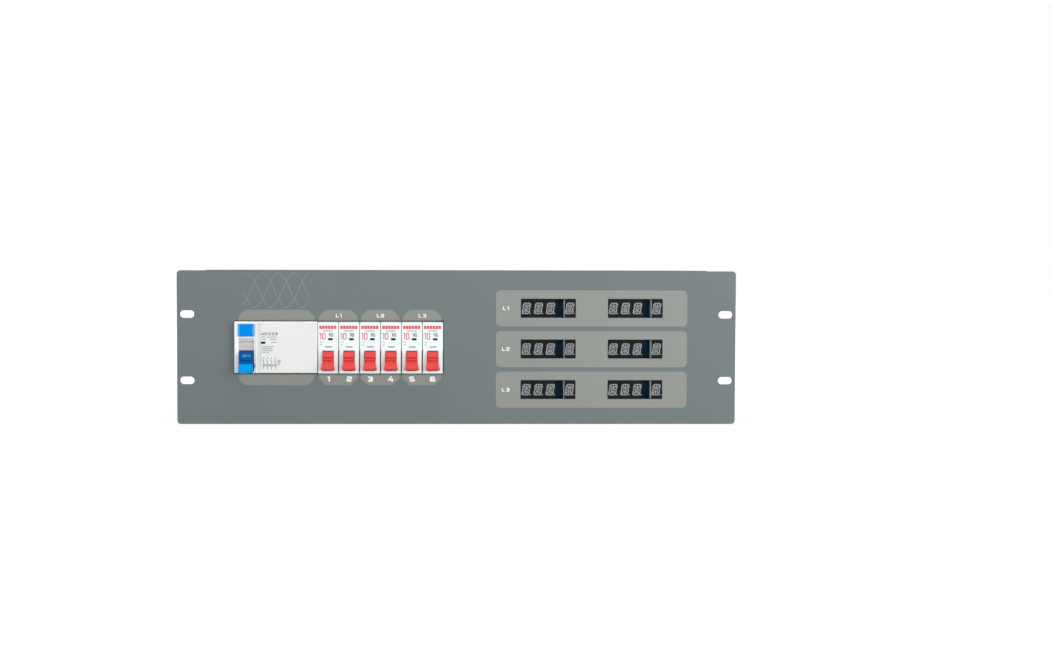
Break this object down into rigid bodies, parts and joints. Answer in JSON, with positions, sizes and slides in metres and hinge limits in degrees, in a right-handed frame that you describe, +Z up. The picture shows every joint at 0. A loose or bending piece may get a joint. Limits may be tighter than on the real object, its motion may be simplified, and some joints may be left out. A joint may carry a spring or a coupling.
{
  "type": "power distribution box",
  "caption": "Rack power distribution box: residual current breaker, circuit breakers with toggles and digital meters in front, mains inlet and earthed outlets behind.",
  "frame": {"origin": "middle of the case's underside", "axes": "+Z up, -Y out of the front panel, +X to the right as seen from the front"},
  "size_m": [0.4826, 0.3193, 0.1329],
  "materials": {
    "panel": "satin powder coat",
    "case": "satin powder coat",
    "zinc": "zinc plated",
    "rccb": "satin",
    "breaker": "satin",
    "red": "satin",
    "blue": "satin",
    "digits": "satin",
    "board": "lacquered",
    "outlet": "satin",
    "inlet": "satin",
    "insert": "satin",
    "brass": "satin",
    "copper": "bare copper",
    "ferrite": "matt",
    "wire": "matt",
    "neutral": "matt"
  },
  "bodies": {
    "case": {"amp_digits_l1": "digits", "amp_digits_l2": "digits", "amp_digits_l3": "digits", "amp_unit_digit_l1": "digits", "amp_unit_digit_l2": "digits", "amp_unit_digit_l3": "digits", "breaker_housing_1": "breaker", "breaker_housing_2": "breaker", "breaker_housing_3": "breaker", "breaker_housing_4": "breaker", "breaker_housing_5": "breaker", "breaker_housing_6": "breaker", "chassis_tray": "case", "current_transformer_l1": "ferrite", "current_transformer_l2": "ferrite", "current_transformer_l3": "ferrite", "din_bracket_left": "zinc", "din_bracket_right": "zinc", "din_rail": "zinc", "earth_bar": "brass", "earth_stud": "brass", "feed_loom": "wire", "front_panel": "panel", "inlet_housing": "inlet", "inlet_pins": "insert", "link_wire_l1": "wire", "link_wire_l2": "wire", "link_wire_l3": "wire", "meter_board_l1": "board", "meter_board_l2": "board", "meter_board_l3": "board", "neutral_bar": "brass", "neutral_wire": "neutral", "outlet_1": "outlet", "outlet_2": "outlet", "outlet_3": "outlet", "outlet_4": "outlet", "outlet_5": "outlet", "outlet_6": "outlet", "outlet_loom": "wire", "phase_link_l1": "copper", "phase_link_l2": "copper", "phase_link_l3": "copper", "rccb_housing": "rccb", "rear_panel": "case", "top_cover": "case", "volt_digits_l1": "digits", "volt_digits_l2": "digits", "volt_digits_l3": "digits", "volt_unit_digit_l1": "digits", "volt_unit_digit_l2": "digits", "volt_unit_digit_l3": "digits"},
    "rccb_toggle_body": {"rccb_toggle": "blue"},
    "test_button_body": {"rccb_test_button": "blue"},
    "breaker_toggle_body_1": {"breaker_toggle_1": "red"},
    "breaker_toggle_body_2": {"breaker_toggle_2": "red"},
    "breaker_toggle_body_3": {"breaker_toggle_3": "red"},
    "breaker_toggle_body_4": {"breaker_toggle_4": "red"},
    "breaker_toggle_body_5": {"breaker_toggle_5": "red"},
    "breaker_toggle_body_6": {"breaker_toggle_6": "red"}
  },
  "joints": [
    {"name": "rccb_toggle_turn", "type": "hinge", "parent": "case", "child": "rccb_toggle_body", "pos_m": [-0.1814, -0.1289, 0.05415], "axis": [-1, 0, 0], "range_deg": [0, 78]},
    {"name": "test_button_press", "type": "slide", "parent": "case", "child": "test_button_body", "axis": [0, 1, 0], "range_m": [0, 0.0015], "stiffness_N_per_m": 1000},
    {"name": "breaker_toggle_turn_1", "type": "hinge", "parent": "case", "child": "breaker_toggle_body_1", "pos_m": [-0.1112, -0.1286, 0.05495], "axis": [-1, 0, 0], "range_deg": [0, 75]},
    {"name": "breaker_toggle_turn_2", "type": "hinge", "parent": "case", "child": "breaker_toggle_body_2", "pos_m": [-0.0932, -0.1286, 0.05495], "axis": [-1, 0, 0], "range_deg": [0, 75]},
    {"name": "breaker_toggle_turn_3", "type": "hinge", "parent": "case", "child": "breaker_toggle_body_3", "pos_m": [-0.0752, -0.1286, 0.05495], "axis": [-1, 0, 0], "range_deg": [0, 75]},
    {"name": "breaker_toggle_turn_4", "type": "hinge", "parent": "case", "child": "breaker_toggle_body_4", "pos_m": [-0.0572, -0.1286, 0.05495], "axis": [-1, 0, 0], "range_deg": [0, 75]},
    {"name": "breaker_toggle_turn_5", "type": "hinge", "parent": "case", "child": "breaker_toggle_body_5", "pos_m": [-0.0392, -0.1286, 0.05495], "axis": [-1, 0, 0], "range_deg": [0, 75]},
    {"name": "breaker_toggle_turn_6", "type": "hinge", "parent": "case", "child": "breaker_toggle_body_6", "pos_m": [-0.0212, -0.1286, 0.05495], "axis": [-1, 0, 0], "range_deg": [0, 75]}
  ]
}
